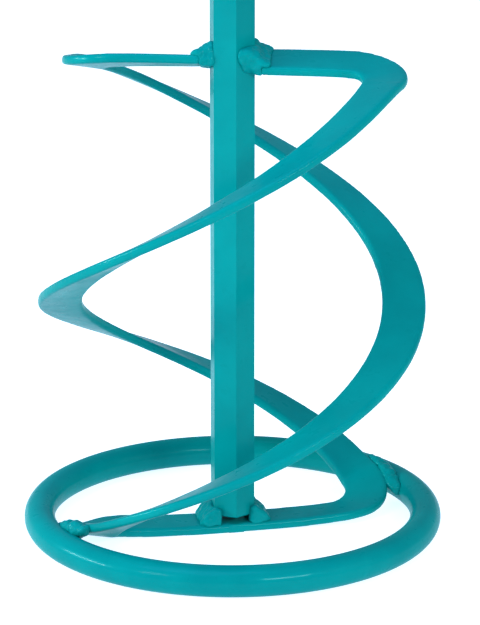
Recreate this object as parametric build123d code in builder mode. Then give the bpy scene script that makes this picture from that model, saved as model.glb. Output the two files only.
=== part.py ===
from build123d import *
from math import atan2, cos, hypot, pi, radians, sin, sqrt, tan
import os

os.makedirs("parts", exist_ok=True)

# Mortar mixing paddle. Lengths in millimetres, angles in degrees.
# Origin: centre of the base ring, on the floor. +Z runs up the shaft, +X along the bottom bar.

# ---- base ring --------------------------------------------------------------------------------
ring_diameter = 135.0  # outside
rod_diameter = 10.0
rod_radius = rod_diameter / 2
ring_radius = ring_diameter / 2 - rod_radius  # of the rod's centre line
seam_azimuth = 78.0  # where the two ends of the rod meet
seam_width = 2.0

# ---- shaft and drive stud ---------------------------------------------------------------------
overall_height = 590.0
shaft_flats = 13.0
shaft_face_azimuth = -1.8  # of the face that looks along the bottom bar
shaft_foot = 5.2  # height of the shaft's lower end
shaft_chamfer = 0.5
stud_diameter = 14.0  # M14
stud_length = 24.0
stud_chamfer = 1.2
relief_depth = 1.2
relief_width = 3.0
collar_flats = 22.0
collar_height = 9.0
collar_chamfer = 0.8
neck_diameter = 20.0
neck_height = 5.0
neck_weld_leg = 3.4  # down the shaft
neck_weld_bite = 1.0  # how far its profile reaches inside the shaft's flats
neck_weld_setback = 0.4  # from the neck's rim
neck_weld_toe = 0.6  # thickness at its lower end
shaft_top = overall_height - stud_length - collar_height - neck_height

# ---- blades -----------------------------------------------------------------------------------
blade_width = 14.0
blade_thickness = 3.0
edge_radius = 0.7
half_width = blade_width / 2
butt_gap = 1.6  # between the two blades under the shaft
arm_start = 9.6  # of the top arm: the weld fills the rest of the way to the shaft

top_azimuth = -16.6
top_height = 153.6  # of the arm's centre line, carried on to the axis
top_reach = 56.8  # from the axis to the outside of the elbow
top_corner = 4.2  # inside radius of the elbow
top_rise = -2.3  # slope of the arm at the elbow
top_bow = 5.0  # power that the arm's height follows
top_tilts = (14.1, 17.7, 9.9)  # at the axis, and at the elbow's two ends
top_lean = 1.2  # of the width, outer side up, at the start of the flight
elbow_curl = 9.0  # extra lean where the elbow ends
curl_share = 0.15  # of the flight, over which the curl dies away

bottom_height = 1.5
bottom_reach = 57.1
bottom_corner = 6.6
bottom_rise = 4.9
bottom_bow = 3.1
bottom_tilts = (0.0, 2.2, -25.2)
bottom_lean = 6.4

height_bumps = (-11.5, -10.0, -2.3)
radius_bumps = (5.1, 6.3, 12.4)
lean_bump = -5.3

arm_steps = 4
elbow_steps = 8
flight_steps = 26
samples = 4  # short straight runs that add up to one step of an elbow

# ---- welds ------------------------------------------------------------------------------------
# Sections of the top arm's weld: distance from the axis, width, and top above the arm's centre.
arm_weld_sections = (
    (2.4, 11.4, 6.4),
    (4.5, 11.2, 6.2),
    (6.5, 11.0, 5.7),
    (8.4, 12.2, 4.1),
    (10.2, 13.4, 2.8),
    (12.0, 13.6, 2.0),
)
arm_weld_corner = 1.5
arm_pocket = 0.05  # clearance of the arm in its weld
foot_weld_inside = 5.3  # distances of the foot weld from the shaft's axis
foot_weld_heel = 6.1
foot_weld_toe = 11.2
foot_weld_rise = 4.9
foot_weld_bulge = 0.5
foot_weld_length = 12.6
foot_weld_corner = 2.2
foot_clearance = 0.12  # over the bar's slight twist
ring_weld_steps = 4
ring_weld_azimuths = (7.0, 26.0)  # of its two ends
ring_weld_heights = (5.8, 11.2)
ring_weld_reach = 57.6
ring_weld_radius = 2.6  # at its middle
ring_weld_end_radius = 1.3


def ease(share):
    return share**2 * (3 - 2 * share)


def blend(start, end, share):
    return start + (end - start) * share


def bumps(share, sizes):
    """A smooth bulge that is nought, and level, at both ends."""
    skew = 1 - 2 * share
    return 16 * share**2 * (1 - share) ** 2 * sum(size * skew**i for i, size in enumerate(sizes))


def lean_up(heading, width, angle):
    """Turn the width direction about the heading, so that its outer end rises."""
    lift = heading.cross(width).normalized()
    if lift.Z < 0:
        lift = -lift
    return width * cos(radians(angle)) + lift * sin(radians(angle))


def arm_stations(side, azimuth, start, height, reach, corner, rise, bow, tilts, lean):
    """Point, heading and width direction along an arm and its elbow, from the shaft outward.
    Local x is outward and local y is the way the elbow turns: side is 1 for anticlockwise."""
    bend = half_width + corner
    run = sqrt((reach - half_width - bend) ** 2 - bend**2)
    turn = pi - atan2(run, bend)
    slope = tan(radians(rise))
    local = []
    for step in range(arm_steps):
        x = blend(start, run, step / arm_steps)
        share = x / run
        tilt = radians(blend(tilts[0], tilts[1], share))
        point = Vector(x, 0, height + slope * run * share**bow / bow)
        heading = Vector(1, 0, slope * share ** (bow - 1)).normalized()
        local.append((point, heading, Vector(0, -cos(tilt), sin(tilt))))

    out = Vector(1, 0, slope).normalized()

    def elbow_directions(share):
        tilt = radians(blend(tilts[1], tilts[2], ease(share)))
        across = Vector(0, cos(tilt), -sin(tilt))
        angle = turn * share
        return out * cos(angle) + across * sin(angle), out * sin(angle) - across * cos(angle)

    point = Vector(run, 0, height + slope * run / bow)
    count = elbow_steps * samples
    for i in range(count + 1):
        if i % samples == 0:
            heading, width = elbow_directions(i / count)
            local.append((point, heading, lean_up(heading, width, lean * ease(i / count))))
        heading, width = elbow_directions((i + 0.5) / count)
        point = point + heading * (bend * turn / count)

    c = cos(radians(azimuth))
    s = sin(radians(azimuth))
    return [
        tuple(Vector(v.X * c - side * v.Y * s, v.X * s + side * v.Y * c, v.Z) for v in station)
        for station in local
    ]


def blade_stations():
    """Out along the top arm, once round the shaft clockwise from above, and in along the bar."""
    top = arm_stations(
        -1, top_azimuth, arm_start, top_height, top_reach,
        top_corner, top_rise, top_bow, top_tilts, top_lean + elbow_curl,
    )
    bottom = arm_stations(
        1, 0.0, butt_gap / 2, bottom_height, bottom_reach,
        bottom_corner, bottom_rise, bottom_bow, bottom_tilts, bottom_lean,
    )
    first = top[-1][0]
    last = bottom[-1][0]
    first_radius = hypot(first.X, first.Y)
    last_radius = hypot(last.X, last.Y)
    first_azimuth = atan2(first.Y, first.X)
    sweep = (first_azimuth - atan2(last.Y, last.X)) % (2 * pi)
    first_fall = tan(radians(top_tilts[2])) * first_radius * sweep
    last_fall = tan(radians(-bottom_tilts[2])) * last_radius * sweep

    def height(q):
        ends = blend(first.Z, last.Z, ease(q))
        slopes = q**2 * (1 - q) * last_fall - q * (1 - q) ** 2 * first_fall
        return ends + slopes + bumps(q, height_bumps)

    flight = []
    for step in range(1, flight_steps):
        q = step / flight_steps
        azimuth = first_azimuth - sweep * q
        radius = blend(first_radius, last_radius, ease(q)) + bumps(q, radius_bumps)
        out = Vector(cos(azimuth), sin(azimuth), 0)
        onward = Vector(sin(azimuth), -cos(azimuth), 0)
        fall = (height(q + 0.001) - height(q - 0.001)) / 0.002
        heading = (onward * (radius * sweep) + Vector(0, 0, fall)).normalized()
        lean = blend(top_lean, bottom_lean, ease(q)) + bumps(q, (lean_bump,))
        lean += elbow_curl * (1 - ease(min(q / curl_share, 1)))
        flight.append((out * radius + Vector(0, 0, height(q)), heading, lean_up(heading, out, lean)))
    inward = [(point, -heading, width) for point, heading, width in reversed(bottom)]
    return top + flight + inward


stations = blade_stations()
bend_end = arm_steps + elbow_steps
blade_joins = (0, arm_steps, bend_end, -bend_end - 1, -arm_steps - 1, -1)  # stations that part its five runs

# ---- hexagonal shaft --------------------------------------------------------------------------
with BuildPart() as hex_shaft:
    with BuildSketch(Plane.XY.offset(shaft_foot)):
        RegularPolygon(shaft_flats / 2, 6, major_radius=False, rotation=shaft_face_azimuth + 30)
    extrude(amount=shaft_top - shaft_foot)
    chamfer(hex_shaft.faces().sort_by(Axis.Z)[0].edges(), shaft_chamfer)

# ---- drive stud: a neck for the weld, a spanner collar and an M14 thread's plain blank ----------
with BuildPart() as drive_stud:
    with BuildSketch(Plane.XY.offset(shaft_top)):
        Circle(neck_diameter / 2)
    extrude(amount=neck_height)
    with BuildSketch(Plane.XY.offset(shaft_top + neck_height)):
        RegularPolygon(collar_flats / 2, 6, major_radius=False, rotation=shaft_face_azimuth + 30)
    extrude(amount=collar_height)
    chamfer(drive_stud.faces().sort_by(Axis.Z)[-1].edges(), collar_chamfer)
    with BuildSketch(Plane.XY.offset(overall_height - stud_length)):
        Circle(stud_diameter / 2 - relief_depth)
    extrude(amount=relief_width)
    with BuildSketch(Plane.XY.offset(overall_height - stud_length + relief_width)):
        Circle(stud_diameter / 2)
    extrude(amount=stud_length - relief_width)
    chamfer(drive_stud.faces().sort_by(Axis.Z)[-1].edges(), stud_chamfer)

weld_inside = shaft_flats / 2 - neck_weld_bite
weld_outside = neck_diameter / 2 - neck_weld_setback
weld_toe = (shaft_flats / 2 + neck_weld_toe, shaft_top - neck_weld_leg)
weld_middle = (weld_outside - neck_weld_toe, shaft_top - neck_weld_leg / 2)
with BuildPart() as drive_stud_weld:
    with BuildSketch(Plane.XZ):
        with BuildLine():
            Polyline(
                weld_toe,
                (weld_inside, shaft_top - neck_weld_leg),
                (weld_inside, shaft_top),
                (weld_outside, shaft_top),
            )
            ThreePointArc((weld_outside, shaft_top), weld_middle, weld_toe)
        make_face()
    revolve(axis=Axis.Z)
    add(hex_shaft.part, mode=Mode.SUBTRACT)

# ---- spiral blades ----------------------------------------------------------------------------
with BuildPart() as spiral_blade_a:
    for start, end in zip(blade_joins, blade_joins[1:]):
        first = start % len(stations)
        last = end % len(stations)
        for point, heading, width in stations[first : last + 1]:
            with BuildSketch(Plane(origin=point, x_dir=width, z_dir=heading)):
                RectangleRounded(blade_width, blade_thickness, edge_radius)
        loft()

with BuildPart() as blade_butt_weld:
    with BuildSketch(Plane(origin=(-butt_gap / 2, 0, bottom_height), x_dir=(0, 1, 0), z_dir=(1, 0, 0))):
        RectangleRounded(blade_width, blade_thickness, edge_radius)
    extrude(amount=butt_gap)

# ---- base ring --------------------------------------------------------------------------------
seam_angle = seam_width / ring_radius * 180 / pi


def rod_plane(azimuth):
    """Upright plane through the shaft axis, with local x outward."""
    a = radians(azimuth)
    return Plane(origin=(0, 0, 0), x_dir=(cos(a), sin(a), 0), z_dir=(sin(a), -cos(a), 0))


with BuildPart() as base_ring:
    with BuildSketch(rod_plane(seam_azimuth + seam_angle / 2)):
        with Locations((ring_radius, rod_radius)):
            Circle(rod_radius)
    revolve(axis=Axis.Z, revolution_arc=360 - seam_angle)

with BuildPart() as ring_seam_weld:
    with BuildSketch(rod_plane(seam_azimuth - seam_angle / 2)):
        with Locations((ring_radius, rod_radius)):
            Circle(rod_radius)
    revolve(axis=Axis.Z, revolution_arc=seam_angle)

# ---- welds ------------------------------------------------------------------------------------
arm_root, arm_heading, arm_width = stations[0]
arm_up = arm_heading.cross(arm_width)
with BuildPart() as top_arm_weld_a:
    for distance, width, top in arm_weld_sections:
        rise = (top - blade_thickness / 2) / 2
        middle = arm_root + arm_heading * (distance - arm_start) + arm_up * rise
        with BuildSketch(Plane(origin=middle, x_dir=arm_width, z_dir=arm_heading)):
            RectangleRounded(width, top + blade_thickness / 2, arm_weld_corner)
    loft()
    with BuildSketch(Plane(origin=arm_root, x_dir=arm_width, z_dir=arm_heading)):
        Rectangle(blade_width + 2 * arm_pocket, blade_thickness + 2 * arm_pocket)
    extrude(amount=arm_start, mode=Mode.SUBTRACT)
    add(hex_shaft.part, mode=Mode.SUBTRACT)

blade_top = bottom_height + blade_thickness / 2 + foot_clearance
heel_top = blade_top + foot_weld_rise
middle_x = (foot_weld_toe + foot_weld_heel) / 2 + foot_weld_bulge
middle_z = (blade_top + heel_top) / 2 + foot_weld_bulge
with BuildPart() as shaft_foot_weld_a:
    with BuildSketch(Plane.XZ.offset(-foot_weld_length / 2)):
        with BuildLine():
            Polyline(
                (foot_weld_toe, blade_top),
                (foot_weld_inside, blade_top),
                (foot_weld_inside, heel_top),
                (foot_weld_heel, heel_top),
            )
            ThreePointArc((foot_weld_heel, heel_top), (middle_x, middle_z), (foot_weld_toe, blade_top))
        make_face()
    extrude(amount=foot_weld_length)
    with BuildSketch(Plane.XY):
        RectangleRounded(2 * foot_weld_toe, foot_weld_length, foot_weld_corner)
    extrude(amount=heel_top, mode=Mode.INTERSECT)
    add(hex_shaft.part, mode=Mode.SUBTRACT)

with BuildPart() as ring_weld_a:
    for step in range(ring_weld_steps + 1):
        share = step / ring_weld_steps
        azimuth = radians(blend(*ring_weld_azimuths, share))
        centre = Vector(
            ring_weld_reach * cos(azimuth),
            ring_weld_reach * sin(azimuth),
            blend(*ring_weld_heights, share),
        )
        onward = Vector(-sin(azimuth), cos(azimuth), 0)
        with BuildSketch(Plane(origin=centre, x_dir=(0, 0, 1), z_dir=onward)):
            Circle(blend(ring_weld_end_radius, ring_weld_radius, 4 * share * (1 - share)))
    loft()
    add(spiral_blade_a.part, mode=Mode.SUBTRACT)
    add(base_ring.part, mode=Mode.SUBTRACT)

# ---- files ------------------------------------------------------------------------------------
hex_shaft.part.label = "hex_shaft"
export_step(hex_shaft.part, "parts/hex_shaft.step")
drive_stud.part.label = "drive_stud"
export_step(drive_stud.part, "parts/drive_stud.step")
drive_stud_weld.part.label = "drive_stud_weld"
export_step(drive_stud_weld.part, "parts/drive_stud_weld.step")
base_ring.part.label = "base_ring"
export_step(base_ring.part, "parts/base_ring.step")
ring_seam_weld.part.label = "ring_seam_weld"
export_step(ring_seam_weld.part, "parts/ring_seam_weld.step")
blade_butt_weld.part.label = "blade_butt_weld"
export_step(blade_butt_weld.part, "parts/blade_butt_weld.step")
spiral_blade_a.part.label = "spiral_blade_a"
export_step(spiral_blade_a.part, "parts/spiral_blade_a.step")
top_arm_weld_a.part.label = "top_arm_weld_a"
export_step(top_arm_weld_a.part, "parts/top_arm_weld_a.step")
shaft_foot_weld_a.part.label = "shaft_foot_weld_a"
export_step(shaft_foot_weld_a.part, "parts/shaft_foot_weld_a.step")
ring_weld_a.part.label = "ring_weld_a"
export_step(ring_weld_a.part, "parts/ring_weld_a.step")

# The second of each pair is the first turned by half a turn about the shaft.
spiral_blade_b = spiral_blade_a.part.rotate(Axis.Z, 180)
spiral_blade_b.label = "spiral_blade_b"
export_step(spiral_blade_b, "parts/spiral_blade_b.step")
top_arm_weld_b = top_arm_weld_a.part.rotate(Axis.Z, 180)
top_arm_weld_b.label = "top_arm_weld_b"
export_step(top_arm_weld_b, "parts/top_arm_weld_b.step")
shaft_foot_weld_b = shaft_foot_weld_a.part.rotate(Axis.Z, 180)
shaft_foot_weld_b.label = "shaft_foot_weld_b"
export_step(shaft_foot_weld_b, "parts/shaft_foot_weld_b.step")
ring_weld_b = ring_weld_a.part.rotate(Axis.Z, 180)
ring_weld_b.label = "ring_weld_b"
export_step(ring_weld_b, "parts/ring_weld_b.step")
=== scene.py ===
from math import cos, pi, radians, sin

import bpy
from mathutils import Matrix, Vector


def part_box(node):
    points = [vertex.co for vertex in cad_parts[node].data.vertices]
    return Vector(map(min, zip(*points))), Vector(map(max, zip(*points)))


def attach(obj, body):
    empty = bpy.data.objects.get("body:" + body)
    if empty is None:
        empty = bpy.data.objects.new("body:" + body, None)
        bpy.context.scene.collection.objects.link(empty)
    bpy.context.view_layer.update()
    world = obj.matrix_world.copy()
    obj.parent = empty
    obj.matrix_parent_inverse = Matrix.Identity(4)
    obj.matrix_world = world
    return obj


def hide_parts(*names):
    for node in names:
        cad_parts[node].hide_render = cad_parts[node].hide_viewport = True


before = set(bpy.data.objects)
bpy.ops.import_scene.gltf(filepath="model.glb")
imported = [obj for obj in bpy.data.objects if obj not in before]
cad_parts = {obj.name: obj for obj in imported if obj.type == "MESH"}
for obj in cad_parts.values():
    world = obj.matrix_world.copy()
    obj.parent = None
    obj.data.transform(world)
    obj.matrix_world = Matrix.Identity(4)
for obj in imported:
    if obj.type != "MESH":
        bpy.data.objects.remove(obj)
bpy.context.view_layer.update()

MM = 0.001
SHARP_ANGLE = radians(35)  # a new mesh is smooth where its faces meet at less than this


# ---- objects and meshes -------------------------------------------------------------------------
def add_object(name, data):
    thing = bpy.data.objects.new(name, data)
    bpy.context.scene.collection.objects.link(thing)
    return thing


def add_mesh(name, points, faces, material):
    mesh = bpy.data.meshes.new(name)
    mesh.from_pydata(points, [], faces)
    mesh.materials.append(material)
    mesh.shade_smooth()
    mesh.set_sharp_from_angle(angle=SHARP_ANGLE)
    return add_object(name, mesh)


def loft(rings):
    """Points and faces of a closed solid through rings that all have the same number of points."""
    count = len(rings[0])
    points = [point for ring in rings for point in ring]
    faces = []
    for low in range(0, len(points) - count, count):
        for i in range(count):
            j = (i + 1) % count
            faces.append((low + i, low + j, low + count + j, low + count + i))
    faces.append(tuple(reversed(range(count))))
    faces.append(tuple(range(len(points) - count, len(points))))
    return points, faces


# ---- shader nodes -------------------------------------------------------------------------------
NOISE_LOW = 0.3  # most of a noise texture's values lie between these two
NOISE_HIGH = 0.7


def new_material(name):
    material = bpy.data.materials.new(name)
    material.use_nodes = True
    return material, material.node_tree, material.node_tree.nodes["Principled BSDF"]


def object_coords(tree):
    return tree.nodes.new("ShaderNodeTexCoord").outputs["Object"]


def noise(tree, coords, scale, detail=4.0, roughness=0.5):
    node = tree.nodes.new("ShaderNodeTexNoise")
    node.inputs["Scale"].default_value = scale
    node.inputs["Detail"].default_value = detail
    node.inputs["Roughness"].default_value = roughness
    tree.links.new(coords, node.inputs["Vector"])
    return node.outputs["Fac"]


def ramp(tree, factor, stops):
    node = tree.nodes.new("ShaderNodeValToRGB")
    elements = node.color_ramp.elements
    while len(elements) < len(stops):
        elements.new(0.5)
    for element, (place, colour) in zip(elements, stops):
        element.position = place
        element.color = (*colour, 1.0)
    tree.links.new(factor, node.inputs["Fac"])
    return node.outputs["Color"]


def spread(tree, factor, low, high):
    """A noise value stretched to run from low to high."""
    node = tree.nodes.new("ShaderNodeMapRange")
    node.inputs["From Min"].default_value = NOISE_LOW
    node.inputs["From Max"].default_value = NOISE_HIGH
    node.inputs["To Min"].default_value = low
    node.inputs["To Max"].default_value = high
    tree.links.new(factor, node.inputs["Value"])
    return node.outputs["Result"]


def bump(tree, height, distance, strength, below=None):
    """The normal of a bumpy surface, on top of the bumps in the normal below."""
    node = tree.nodes.new("ShaderNodeBump")
    node.inputs["Distance"].default_value = distance
    node.inputs["Strength"].default_value = strength
    tree.links.new(height, node.inputs["Height"])
    if below:
        tree.links.new(below, node.inputs["Normal"])
    return node.outputs["Normal"]


# ---- materials ----------------------------------------------------------------------------------
def gloss_paint(name, shades, peel):
    """Sprayed gloss paint: a mottled colour, slow sags and orange peel under a thin clear coat."""
    material, tree, shader = new_material(name)
    coords = object_coords(tree)
    mottle = noise(tree, coords, scale=38.0, detail=5.0, roughness=0.6)
    sheen = noise(tree, coords, scale=260.0)
    sags = noise(tree, coords, scale=130.0, detail=2.0)
    grain = noise(tree, coords, scale=900.0, detail=2.0)
    sagged = bump(tree, sags, distance=0.25 * MM, strength=0.25)
    peeled = bump(tree, grain, distance=0.05 * MM, strength=peel, below=sagged)
    tree.links.new(ramp(tree, mottle, shades), shader.inputs["Base Color"])
    tree.links.new(spread(tree, sheen, low=0.26, high=0.36), shader.inputs["Roughness"])
    tree.links.new(peeled, shader.inputs["Normal"])
    shader.inputs["IOR"].default_value = 1.45
    shader.inputs["Metallic"].default_value = 0.04
    shader.inputs["Specular IOR Level"].default_value = 0.012
    shader.inputs["Specular Tint"].default_value = (0.3, 0.85, 1.0, 1)
    shader.inputs["Coat Weight"].default_value = 0.06
    shader.inputs["Coat Roughness"].default_value = 0.12
    return material


def turned_steel(name, shades):
    """Zinc-plated steel: a mottled grey with fine turning marks round the axis."""
    material, tree, shader = new_material(name)
    coords = object_coords(tree)
    squash = tree.nodes.new("ShaderNodeMapping")
    squash.inputs["Scale"].default_value = (1.0, 1.0, 40.0)
    tree.links.new(coords, squash.inputs["Vector"])
    mottle = noise(tree, coords, scale=160.0, detail=6.0, roughness=0.6)
    marks = noise(tree, squash.outputs["Vector"], scale=120.0, detail=3.0)
    marked = bump(tree, marks, distance=0.03 * MM, strength=0.5)
    tree.links.new(ramp(tree, mottle, shades), shader.inputs["Base Color"])
    tree.links.new(spread(tree, marks, low=0.28, high=0.45), shader.inputs["Roughness"])
    tree.links.new(marked, shader.inputs["Normal"])
    shader.inputs["Metallic"].default_value = 1.0
    return material


# Each shade with the noise value that it stands at.
TEAL = [
    (NOISE_LOW, (0.0, 0.19, 0.19)),
    (0.5, (0.0, 0.212, 0.208)),
    (NOISE_HIGH, (0.0, 0.234, 0.226)),
]
ZINC_GREY = [(NOISE_LOW, (0.36, 0.36, 0.35)), (NOISE_HIGH, (0.56, 0.56, 0.54))]

paint = gloss_paint("teal_paint", TEAL, peel=0.06)
weld_paint = gloss_paint("teal_paint_on_weld", TEAL, peel=0.2)
steel = turned_steel("turned_steel", ZINC_GREY)

for name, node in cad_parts.items():
    node.data.materials.clear()
    node.data.materials.append(weld_paint if "weld" in name else paint)


# ---- CAD nodes: edges softened by the paint, welds made uneven ------------------------------------
BLADES = ("spiral_blade_a", "spiral_blade_b")
LUMPY_WELDS = (
    "top_arm_weld_a", "top_arm_weld_b", "shaft_foot_weld_a", "shaft_foot_weld_b",
    "ring_weld_a", "ring_weld_b", "drive_stud_weld",
)

BLADE_VOXEL = 0.5 * MM
RING_VOXEL = 0.6 * MM
WELD_VOXEL = 0.25 * MM
PAINTED_STEPS = 14  # smoothing steps
SEAM_STEPS = 2
WELD_STEPS = 30
BLADE_WAVE_SIZE = 9 * MM
BLADE_WAVE_DEPTH = 0.12 * MM
WELD_LUMP_SIZE = 2.8 * MM
WELD_LUMP_DEPTH = 1.3 * MM
WELD_BITE = 0.6 * MM
SHAFT_EDGE = 1.1 * MM


def skin(node, voxel, smooth_steps):
    """An even fine mesh over the CAD solid, its edges softened by the smoothing steps."""
    remesh = node.modifiers.new("skin", "REMESH")
    remesh.mode = "VOXEL"
    remesh.voxel_size = voxel
    remesh.use_smooth_shade = True
    soften = node.modifiers.new("soften", "SMOOTH")
    soften.factor = 0.5
    soften.iterations = smooth_steps


def fatten(node, growth):
    """Make up what the softening took off, so that a weld bites into the metal beside it."""
    grow = node.modifiers.new("bite", "DISPLACE")
    grow.mid_level = 0.0
    grow.strength = growth


def roughen(node, size, depth):
    """Lumps of the given size, pushed out and in along the surface's own normal."""
    texture = bpy.data.textures.new(node.name + "_clouds", "CLOUDS")
    texture.noise_scale = size
    lumps = node.modifiers.new("lumps", "DISPLACE")
    lumps.texture = texture
    lumps.texture_coords = "LOCAL"
    lumps.mid_level = 0.5
    lumps.strength = depth


def round_edges(node, width):
    """Round the edges of a prism and leave its faces flat."""
    bevel = node.modifiers.new("rounded_edges", "BEVEL")
    bevel.width = width
    bevel.segments = 4
    bevel.limit_method = "ANGLE"
    bevel.angle_limit = radians(25)
    bevel.harden_normals = True


for name in BLADES:
    skin(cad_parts[name], BLADE_VOXEL, PAINTED_STEPS)
    roughen(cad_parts[name], BLADE_WAVE_SIZE, BLADE_WAVE_DEPTH)
skin(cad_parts["base_ring"], RING_VOXEL, PAINTED_STEPS)
skin(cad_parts["ring_seam_weld"], WELD_VOXEL, SEAM_STEPS)
for name in LUMPY_WELDS:
    skin(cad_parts[name], WELD_VOXEL, WELD_STEPS)
    fatten(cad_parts[name], WELD_BITE)
    roughen(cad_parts[name], WELD_LUMP_SIZE, WELD_LUMP_DEPTH)
round_edges(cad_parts["hex_shaft"], SHAFT_EDGE)


# ---- drive stud, with its real thread ------------------------------------------------------------
THREAD_LENGTH = 21 * MM
THREAD_RADIUS = 6.95 * MM
THREAD_PITCH = 2.0 * MM
THREAD_DEPTH = 1.15 * MM
THREAD_CHAMFER = 1.2 * MM
ROOT_FLAT = 0.1  # of half a pitch
FLANK = 0.72  # of half a pitch
RELIEF_HEIGHT = 3 * MM
RELIEF_RADIUS = 5.8 * MM
COLLAR_HEIGHT = 9 * MM
COLLAR_HALF_FLATS = 11 * MM
COLLAR_TURN = radians(-1.8)
COLLAR_FACE_RADIUS = 11.6 * MM
COLLAR_CONE_SLOPE = 1.75
NECK_RADIUS = 10 * MM
NECK_CHAMFER = 0.4 * MM
NECK_SHARES = (0.0, 0.04, 0.08, 0.5, 1.0)  # of its height, close together along the chamfer

STUD_STEPS_AROUND = 96
COLLAR_STEPS = 30
RELIEF_STEPS = 4
THREAD_STEPS = 210

neck_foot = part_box("drive_stud")[0].z
stud_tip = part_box("drive_stud")[1].z
thread_foot = stud_tip - THREAD_LENGTH
collar_top = thread_foot - RELIEF_HEIGHT
collar_foot = collar_top - COLLAR_HEIGHT


def neck_radius(angle, z):
    return NECK_RADIUS - max(0.0, NECK_CHAMFER - (z - neck_foot))


def collar_radius(angle, z):
    """A hexagon whose corners are turned off by a shallow cone at each face."""
    sixth = pi / 3
    off_flat = (angle - COLLAR_TURN + sixth / 2) % sixth - sixth / 2
    cone = COLLAR_FACE_RADIUS + COLLAR_CONE_SLOPE * min(z - collar_foot, collar_top - z)
    return min(COLLAR_HALF_FLATS / cos(off_flat), cone)


def relief_radius(angle, z):
    return RELIEF_RADIUS


def thread_radius(angle, z):
    """A thread with flats at crest and root, run out into the chamfer at the tip."""
    wave = abs(((z / THREAD_PITCH - angle / (2 * pi)) % 1.0) * 2 - 1)
    tooth = min(max((wave - ROOT_FLAT) / FLANK, 0.0), 1.0)
    crest = THREAD_RADIUS - max(0.0, THREAD_CHAMFER - (stud_tip - z))
    return min(crest, THREAD_RADIUS - THREAD_DEPTH * (1 - tooth))


def even_levels(foot, height, steps, radius):
    return [(foot + height * step / steps, radius) for step in range(steps + 1)]


def stud_levels():
    """Heights, each with the function that gives the radius there, from the neck to the tip."""
    neck_height = collar_foot - neck_foot
    return (
        [(neck_foot + neck_height * share, neck_radius) for share in NECK_SHARES]
        + even_levels(collar_foot, COLLAR_HEIGHT, COLLAR_STEPS, collar_radius)
        + even_levels(collar_top, RELIEF_HEIGHT, RELIEF_STEPS, relief_radius)
        + even_levels(thread_foot, THREAD_LENGTH, THREAD_STEPS, thread_radius)
    )


def stud_ring(z, radius):
    ring = []
    for step in range(STUD_STEPS_AROUND):
        angle = 2 * pi * step / STUD_STEPS_AROUND
        r = radius(angle, z)
        ring.append((r * cos(angle), r * sin(angle), z))
    return ring


stud_rings = [stud_ring(z, radius) for z, radius in stud_levels()]
stud = add_mesh("drive_stud_threaded", *loft(stud_rings), steel)
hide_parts("drive_stud")
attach(stud, "root")


# ---- butt weld: a bead ground flush, fused a little way into both blades --------------------------
BEAD_REACH = 1.6 * MM  # into each blade
BEAD_SIDE_GAP = 0.02 * MM  # inside the flat's edges
BEAD_FACE_GAP = 0.01 * MM  # inside the flat's faces
BEAD_CORNER = 0.75 * MM
BEAD_CORNER_STEPS = 6


def bead_outline(half_width, half_height, middle_height):
    """A rectangle with rounded corners, as pairs of y and z."""
    outline = []
    for quarter, (side, lift) in enumerate(((1, 1), (-1, 1), (-1, -1), (1, -1))):
        for step in range(BEAD_CORNER_STEPS + 1):
            angle = pi / 2 * (quarter + step / BEAD_CORNER_STEPS)
            y = side * (half_width - BEAD_CORNER) + BEAD_CORNER * cos(angle)
            z = middle_height + lift * (half_height - BEAD_CORNER) + BEAD_CORNER * sin(angle)
            outline.append((y, z))
    return outline


weld_low, weld_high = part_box("blade_butt_weld")
bead_section = bead_outline(
    weld_high.y - BEAD_SIDE_GAP,
    (weld_high.z - weld_low.z) / 2 - BEAD_FACE_GAP,
    (weld_high.z + weld_low.z) / 2,
)
bead_ends = (weld_low.x - BEAD_REACH, weld_high.x + BEAD_REACH)
bead_rings = [[(x, y, z) for y, z in bead_section] for x in bead_ends]
bead = add_mesh("blade_butt_bead", *loft(bead_rings), paint)
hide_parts("blade_butt_weld")
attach(bead, "root")


# ---- floor --------------------------------------------------------------------------------------
FLOOR_REACH = 12.0


def pale_floor():
    """A white sheet that gives off some light of its own, so that shadows on it stay faint."""
    material, _, shader = new_material("pale_floor")
    shader.inputs["Base Color"].default_value = (0.6, 0.6, 0.6, 1)
    shader.inputs["Roughness"].default_value = 0.7
    shader.inputs["Specular IOR Level"].default_value = 0.0
    shader.inputs["Emission Color"].default_value = (0.74, 0.84, 1.0, 1)
    shader.inputs["Emission Strength"].default_value = 1.05
    return material


floor_signs = ((-1, -1), (1, -1), (1, 1), (-1, 1))
floor_corners = [(FLOOR_REACH * x, FLOOR_REACH * y, 0) for x, y in floor_signs]
add_mesh("floor", floor_corners, [(0, 1, 2, 3)], pale_floor())


# ---- light and camera ---------------------------------------------------------------------------
VIEW_AZIMUTH = radians(-11.25)  # of the camera's right-hand direction
VIEW_ELEVATION = radians(16.1)
VIEW_DISTANCE = 0.9625
VIEW_TARGET_HEIGHT = 72.25 * MM
VIEW_TARGET_SIDE = 2.4 * MM
LENS = 174.0
SENSOR_WIDTH = 36.0
LIT_HEIGHT = 0.1  # the lights point at this height on the shaft

right = Vector((cos(VIEW_AZIMUTH), sin(VIEW_AZIMUTH), 0))
toward_camera = Vector((right.y, -right.x, 0))
up = Vector((0, 0, 1))


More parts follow.
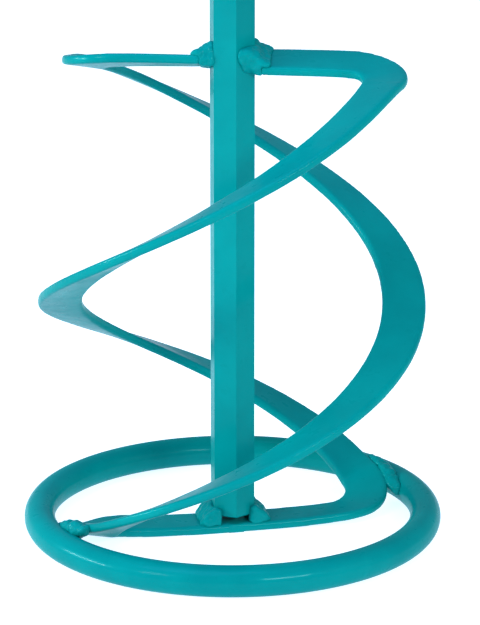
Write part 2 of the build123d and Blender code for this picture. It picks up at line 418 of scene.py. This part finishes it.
def aim(thing, place, target):
    """Stand a light or a camera at a place and turn it to the target."""
    turn = (place - target).normalized().to_track_quat("Z", "Y")
    thing.matrix_world = Matrix.Translation(place) @ turn.to_matrix().to_4x4()


def soft_light(name, side, front, height, size, power, colour):
    """An area light placed by how far to the right, to the front and up it stands."""
    light = bpy.data.lights.new(name, "AREA")
    light.shape = "RECTANGLE"
    light.size, light.size_y = size
    light.energy = power
    light.color = colour
    place = right * side + toward_camera * front + up * height
    aim(add_object(name, light), place, up * LIT_HEIGHT)


# The two narrow boxes draw the highlights along the ring. The other lights are wide and soft.
soft_light(
    "box_left", side=-1.3, front=0.1, height=0.42,
    size=(0.7, 0.1), power=15.0, colour=(0.95, 0.98, 1.0),
)
soft_light(
    "box_front", side=0.6, front=1.05, height=0.6,
    size=(0.5, 0.09), power=8.0, colour=(0.9, 0.97, 1.0),
)
soft_light(
    "key_left", side=-1.0, front=1.0, height=0.9,
    size=(0.4, 0.4), power=5.0, colour=(1.0, 0.99, 0.97),
)
soft_light(
    "top_blue", side=-0.3, front=0.3, height=1.5,
    size=(1.0, 1.0), power=16.0, colour=(0.2, 0.55, 1.0),
)
soft_light(
    "fill_right", side=1.3, front=0.6, height=0.6,
    size=(0.9, 0.9), power=1.5, colour=(1.0, 1.0, 1.0),
)

world = bpy.data.worlds.new("studio")
world.use_nodes = True
sky = world.node_tree.nodes["Background"]
sky.inputs["Color"].default_value = (0.72, 0.86, 1.0, 1)
sky.inputs["Strength"].default_value = 0.5
bpy.context.scene.world = world
bpy.context.scene.view_settings.view_transform = "Standard"

camera_data = bpy.data.cameras.new("camera")
camera_data.sensor_width = SENSOR_WIDTH
camera_data.lens = LENS
camera = add_object("camera", camera_data)
view_target = right * VIEW_TARGET_SIDE + up * VIEW_TARGET_HEIGHT
back = toward_camera * cos(VIEW_ELEVATION) + up * sin(VIEW_ELEVATION)
aim(camera, view_target + back * VIEW_DISTANCE, view_target)
bpy.context.scene.camera = camera

bpy.context.view_layer.update()
